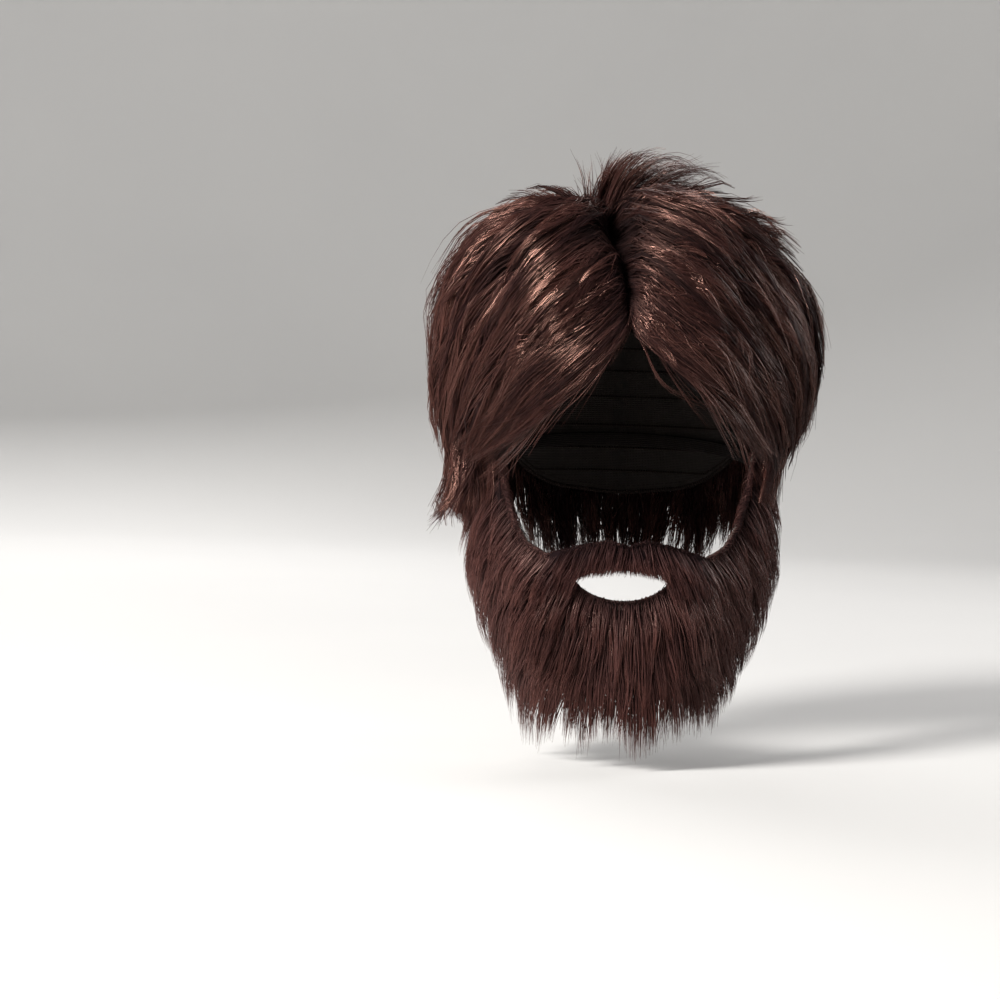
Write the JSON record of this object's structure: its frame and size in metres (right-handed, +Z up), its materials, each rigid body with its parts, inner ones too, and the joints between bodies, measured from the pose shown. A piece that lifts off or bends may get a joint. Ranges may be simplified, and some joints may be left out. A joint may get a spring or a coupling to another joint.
{
  "type": "wig with beard",
  "caption": "Shaggy centre-parted wig on a net cap, with a full beard and moustache on a cloth backing held on by an elastic round the back of the head.",
  "frame": {"origin": "inside top of the cap, where the crown of the wearer's head carries it", "axes": "+Z up, the wearer looks along -Y, +X to the right of a front view"},
  "size_m": [0.2196, 0.2407, 0.3526],
  "materials": {
    "wig_hair": "glossy dark brown synthetic fibre",
    "beard_fur": "soft dark brown synthetic fur pile",
    "cap_net": "matte dark net with sewn rows",
    "backing_knit": "matte dark knitted backing",
    "elastic_band": "matte woven elastic"
  },
  "bodies": {
    "root": {"wig_cap": "cap_net", "beard_backing": "backing_knit", "beard_elastic": "elastic_band", "crown_tuft": "wig_hair", "fringe_left": "wig_hair", "fringe_right": "wig_hair", "crown_hair_left": "wig_hair", "crown_hair_right": "wig_hair", "side_hair_left": "wig_hair", "side_hair_right": "wig_hair", "back_hair": "wig_hair", "nape_hair": "wig_hair", "moustache": "beard_fur", "cheek_fur_left": "beard_fur", "cheek_fur_right": "beard_fur", "chin_fur": "beard_fur"}
  },
  "joints": []
}
